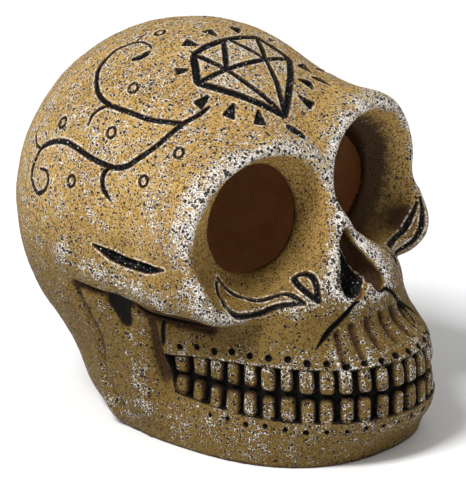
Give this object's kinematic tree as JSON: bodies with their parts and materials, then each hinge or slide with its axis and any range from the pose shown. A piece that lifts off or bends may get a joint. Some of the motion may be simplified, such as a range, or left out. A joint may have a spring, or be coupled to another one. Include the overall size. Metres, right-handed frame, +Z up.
{
  "type": "bubbling aquarium ornament",
  "caption": "Hollow sugar skull aquarium ornament, open underneath, that bubbles air from an inner air stone out through its eye sockets.",
  "frame": {"origin": "centre of the ornament's footprint box, on the plane it stands on", "axes": "+Z up, the face looks along -Y, +X on the skull's own left"},
  "size_m": [0.1038, 0.1404, 0.112],
  "materials": {
    "resin": "cast polyresin, ochre with dark wash in its pits, white dry brushing and black glitter engraving",
    "rubber": "black nitrile rubber",
    "black_plastic": "black moulded plastic",
    "silicone": "milky silicone tubing",
    "grey_plastic": "dark grey moulded plastic",
    "air_stone": "blue grey bonded mineral grit",
    "stainless": "stainless steel"
  },
  "bodies": {
    "skull": {"skull_shell": "resin", "inlet_grommet": "rubber", "air_tube": "silicone", "tube_clip": "grey_plastic", "stone_saddle_front": "grey_plastic", "stone_saddle_rear": "grey_plastic", "stone_bridge": "grey_plastic", "bridge_screw_left": "stainless", "bridge_screw_right": "stainless"},
    "elbow": {"inlet_elbow": "black_plastic", "inlet_nut": "black_plastic"},
    "stone": {"stone_nipple": "black_plastic", "air_stone": "air_stone"}
  },
  "joints": [
    {"name": "elbow_swivel", "type": "hinge", "parent": "skull", "child": "elbow", "pos_m": [0, 0.0676, 0.044], "axis": [0, 1, 0], "range_deg": [-100, 100]},
    {"name": "stone_pull", "type": "slide", "parent": "skull", "child": "stone", "axis": [0, -1, 0], "range_m": [0, 0.0125]}
  ]
}
